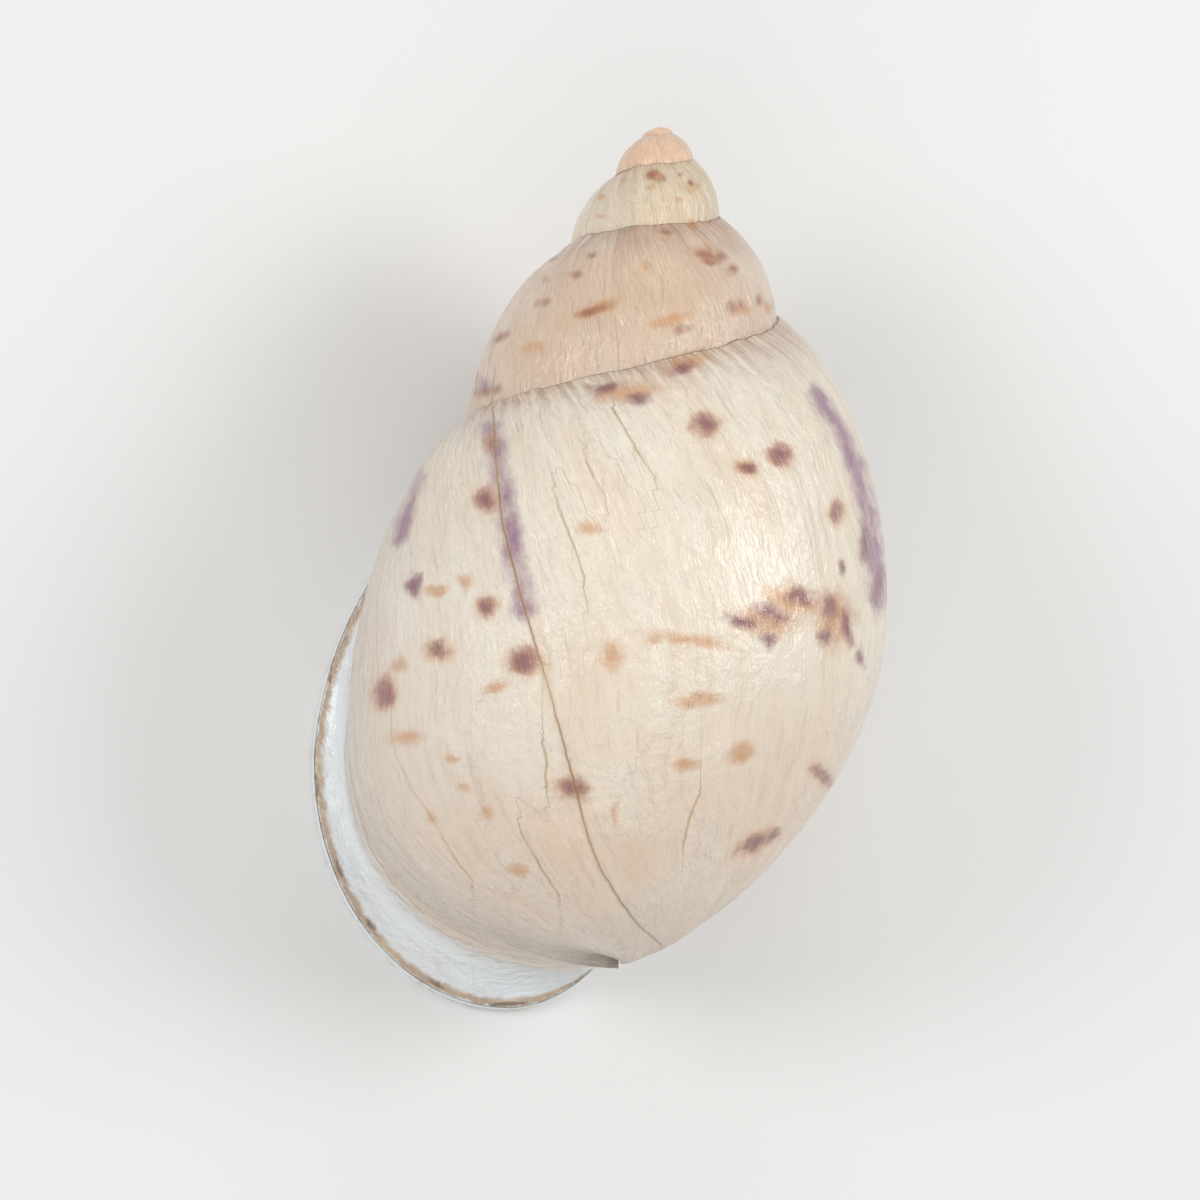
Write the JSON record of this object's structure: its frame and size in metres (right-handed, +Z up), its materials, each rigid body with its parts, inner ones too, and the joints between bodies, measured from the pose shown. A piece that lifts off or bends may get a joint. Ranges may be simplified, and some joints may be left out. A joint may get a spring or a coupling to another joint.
{
  "type": "land snail shell",
  "caption": "Large ovate land snail shell with a short conic spire, a big last whorl and a flared, reflected white lip round an open mouth.",
  "frame": {"origin": "centre of the bounding box in plan, on the table that the shell lies on", "axes": "+Y towards the apex, +Z up from the table that the mouth faces, +X to the right seen from above with the apex up"},
  "size_m": [0.0396, 0.0628, 0.0337],
  "materials": {
    "shell": "glossy, finely ribbed"
  },
  "bodies": {
    "root": {"shell": "shell"}
  },
  "joints": []
}
